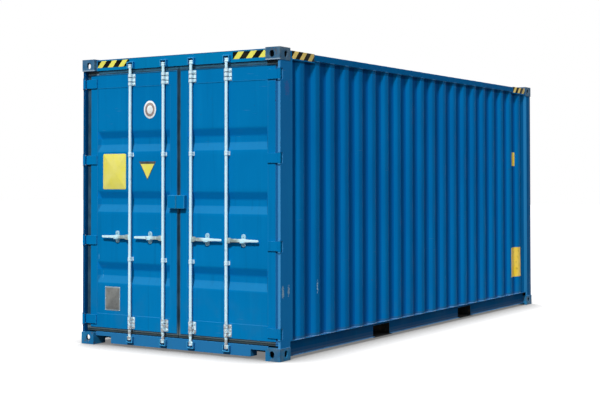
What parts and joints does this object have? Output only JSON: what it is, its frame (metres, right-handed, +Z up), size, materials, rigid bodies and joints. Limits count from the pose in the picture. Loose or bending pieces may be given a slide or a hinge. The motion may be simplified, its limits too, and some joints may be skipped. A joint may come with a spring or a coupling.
{
  "type": "shipping container",
  "caption": "Corrugated steel box container with double end doors, lock rods with handles, corner castings and forklift pockets.",
  "frame": {"origin": "on the ground at the middle of the footprint", "axes": "+X runs along the length away from the doors, Y across the width, +Z up"},
  "size_m": [6.058, 2.438, 2.896],
  "materials": {
    "painted_steel": "satin blue paint over steel",
    "door_paint": "satin blue paint over steel",
    "casting_paint": "worn blue paint over cast steel",
    "galvanised": "dull zinc",
    "gasket_rubber": "matt",
    "floor_plywood": "oiled plywood",
    "underframe": "dark coating"
  },
  "bodies": {
    "shell": {"bottom_corner_castings": "casting_paint", "top_corner_castings": "casting_paint", "door_header": "painted_steel", "door_sill": "painted_steel", "front_top_rail": "painted_steel", "front_bottom_rail": "painted_steel", "front_wall": "painted_steel", "roof_panel": "painted_steel", "top_corner_plates": "painted_steel", "floor_boards": "floor_plywood", "cross_members": "underframe", "forklift_pockets": "underframe", "cam_keepers": "painted_steel", "rear_left_post": "painted_steel", "front_left_post": "painted_steel", "left_top_rail": "painted_steel", "left_bottom_rail": "painted_steel", "left_side_wall": "painted_steel", "rear_right_post": "painted_steel", "front_right_post": "painted_steel", "right_top_rail": "painted_steel", "right_bottom_rail": "painted_steel", "right_side_wall": "painted_steel"},
    "left_door": {"left_door_frame": "door_paint", "left_door_panel": "door_paint", "left_door_gasket": "gasket_rubber", "left_door_hinges": "door_paint", "left_rod_brackets": "galvanised", "left_handle_retainers": "galvanised", "left_lock_box": "door_paint"},
    "left_outer_rod_body": {"left_outer_rod": "galvanised"},
    "left_outer_handle_body": {"left_outer_handle": "galvanised"},
    "left_inner_rod_body": {"left_inner_rod": "galvanised"},
    "left_inner_handle_body": {"left_inner_handle": "galvanised"},
    "right_door": {"right_door_frame": "door_paint", "right_door_panel": "door_paint", "right_door_gasket": "gasket_rubber", "right_door_hinges": "door_paint", "right_rod_brackets": "galvanised", "right_handle_retainers": "galvanised", "right_lock_box": "door_paint"},
    "right_outer_rod_body": {"right_outer_rod": "galvanised"},
    "right_outer_handle_body": {"right_outer_handle": "galvanised"},
    "right_inner_rod_body": {"right_inner_rod": "galvanised"},
    "right_inner_handle_body": {"right_inner_handle": "galvanised"}
  },
  "joints": [
    {"name": "left_door_swing", "type": "hinge", "parent": "shell", "child": "left_door", "pos_m": [-3.013, 1.203, 1.45], "axis": [0, 0, -1], "range_deg": [0, 266]},
    {"name": "left_outer_rod_turn", "type": "hinge", "parent": "left_door", "child": "left_outer_rod_body", "pos_m": [-3.009, 0.595, 1.4485], "axis": [0, 0, -1], "range_deg": [-110, 0]},
    {"name": "left_outer_handle_lift", "type": "hinge", "parent": "left_outer_rod_body", "child": "left_outer_handle_body", "pos_m": [-3.009, 0.631, 1.096], "axis": [1, 0, 0], "range_deg": [0, 20]},
    {"name": "left_inner_rod_turn", "type": "hinge", "parent": "left_door", "child": "left_inner_rod_body", "pos_m": [-3.009, 0.171, 1.4485], "axis": [0, 0, -1], "range_deg": [-110, 0]},
    {"name": "left_inner_handle_lift", "type": "hinge", "parent": "left_inner_rod_body", "child": "left_inner_handle_body", "pos_m": [-3.009, 0.207, 1.096], "axis": [1, 0, 0], "range_deg": [0, 20]},
    {"name": "right_door_swing", "type": "hinge", "parent": "shell", "child": "right_door", "pos_m": [-3.013, -1.203, 1.45], "axis": [0, 0, 1], "range_deg": [0, 266]},
    {"name": "right_outer_rod_turn", "type": "hinge", "parent": "right_door", "child": "right_outer_rod_body", "pos_m": [-3.009, -0.595, 1.4485], "axis": [0, 0, 1], "range_deg": [-110, 0]},
    {"name": "right_outer_handle_lift", "type": "hinge", "parent": "right_outer_rod_body", "child": "right_outer_handle_body", "pos_m": [-3.009, -0.631, 1.096], "axis": [-1, 0, 0], "range_deg": [0, 20]},
    {"name": "right_inner_rod_turn", "type": "hinge", "parent": "right_door", "child": "right_inner_rod_body", "pos_m": [-3.009, -0.171, 1.4485], "axis": [0, 0, 1], "range_deg": [-110, 0]},
    {"name": "right_inner_handle_lift", "type": "hinge", "parent": "right_inner_rod_body", "child": "right_inner_handle_body", "pos_m": [-3.009, -0.207, 1.096], "axis": [-1, 0, 0], "range_deg": [0, 20]}
  ]
}
